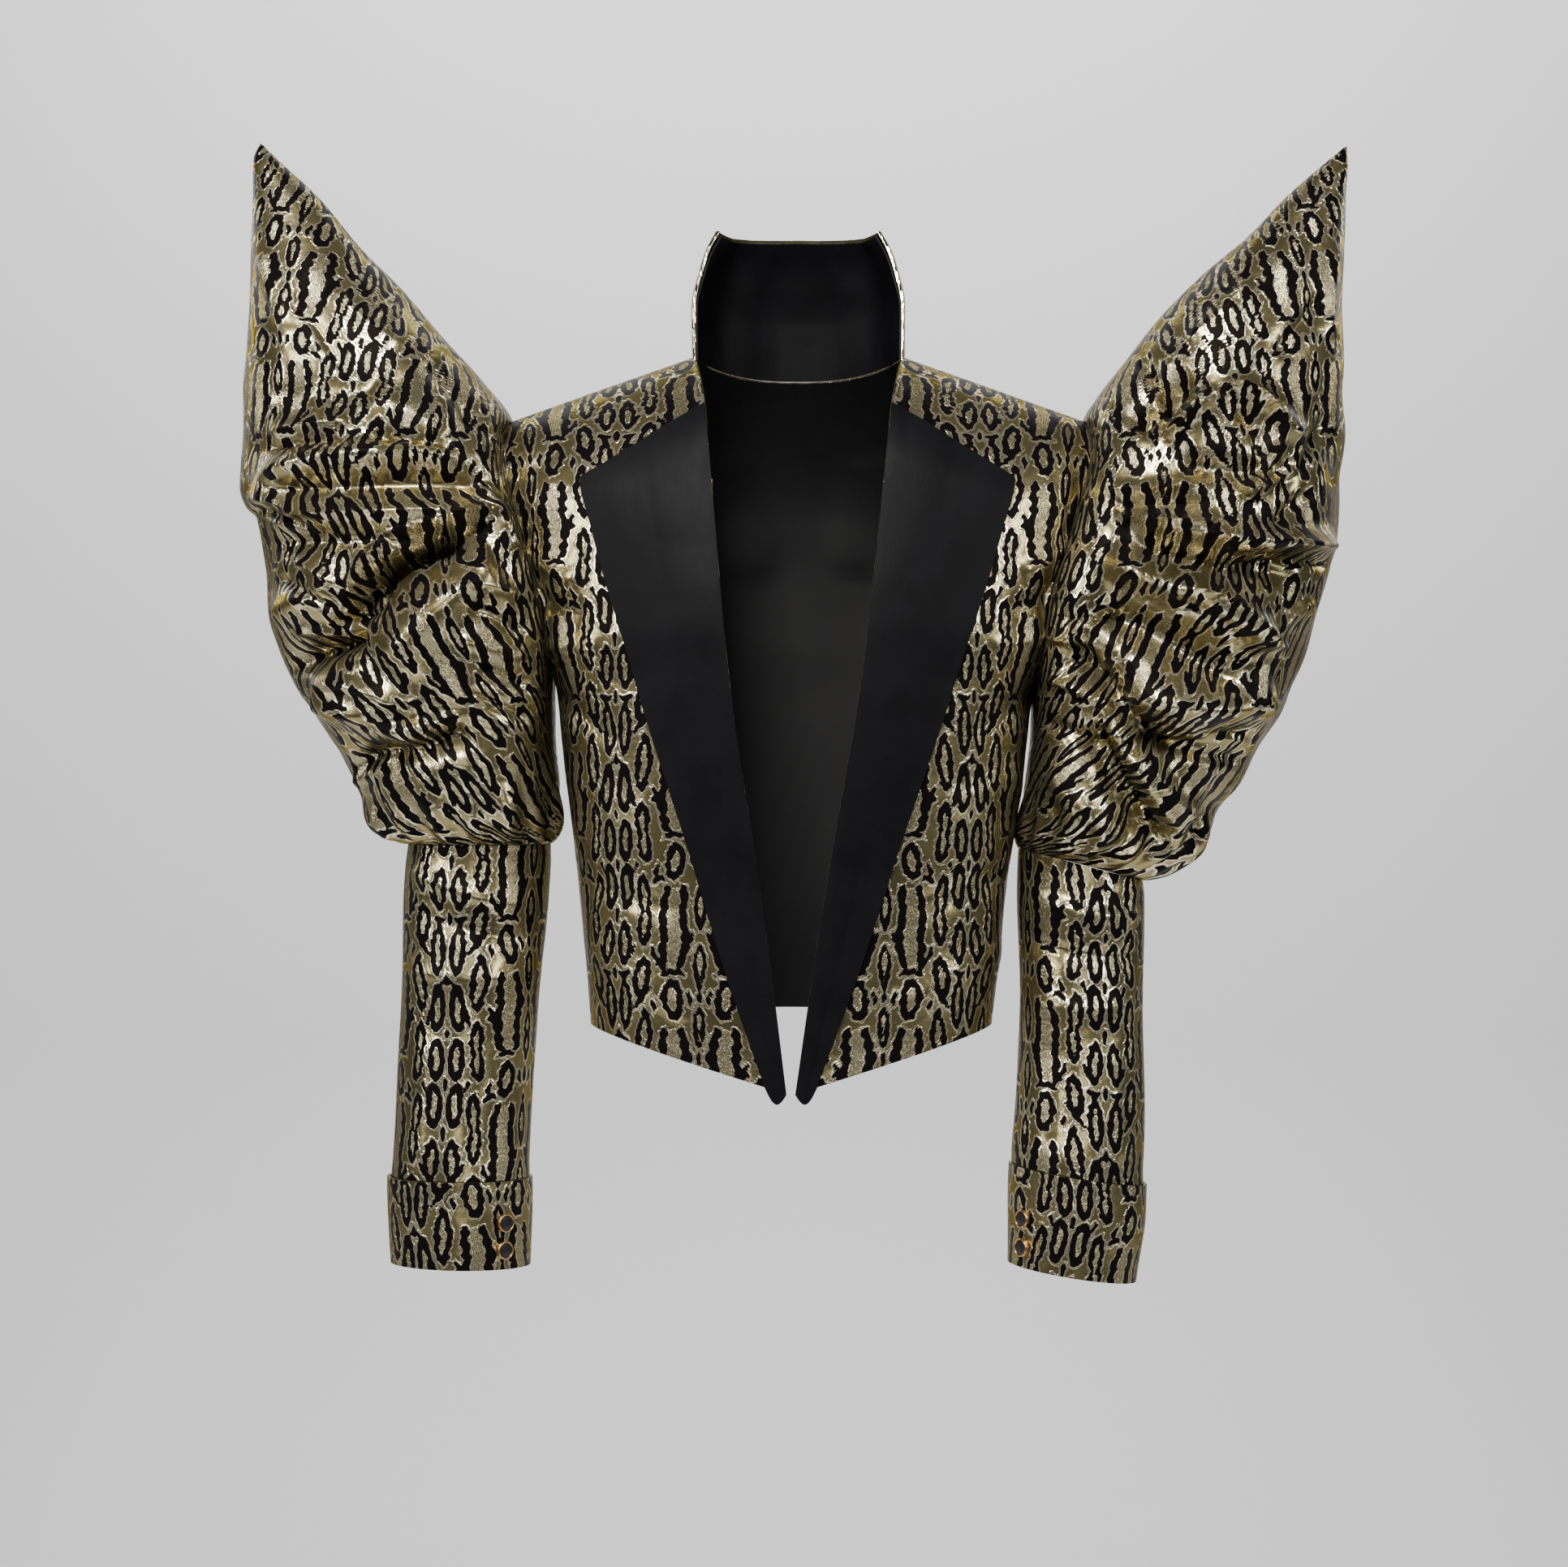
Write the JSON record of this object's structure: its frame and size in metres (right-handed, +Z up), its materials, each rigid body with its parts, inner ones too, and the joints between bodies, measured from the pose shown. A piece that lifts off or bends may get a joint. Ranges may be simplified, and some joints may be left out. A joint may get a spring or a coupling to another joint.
{
  "type": "court jacket",
  "caption": "Cropped open-front court jacket in gold jacquard with satin lapels, stand collar and gathered sleeves drawn up to tall points.",
  "frame": {"origin": "between the two points where the shoulder seams meet the neckline, on the jacket's middle plane and over its side seams; the wearer's shoulders hold it here", "axes": "+Z up; the front faces -Y; +X is the wearer's left"},
  "size_m": [0.79, 0.2371, 0.81],
  "materials": {
    "jacquard": "metallic gold jacquard with a black spotted weave",
    "satin": "black satin",
    "button": "black disc with a polished gold rim"
  },
  "bodies": {
    "root": {"back": "jacquard", "right_front": "jacquard", "left_front": "jacquard", "right_lapel": "satin", "left_lapel": "satin", "collar": "jacquard", "collar_facing": "satin", "right_puff": "jacquard", "left_puff": "jacquard", "right_sleeve": "jacquard", "left_sleeve": "jacquard", "right_cuff": "jacquard", "left_cuff": "jacquard", "right_button_upper": "button", "right_button_lower": "button", "left_button_upper": "button", "left_button_lower": "button"}
  },
  "joints": []
}
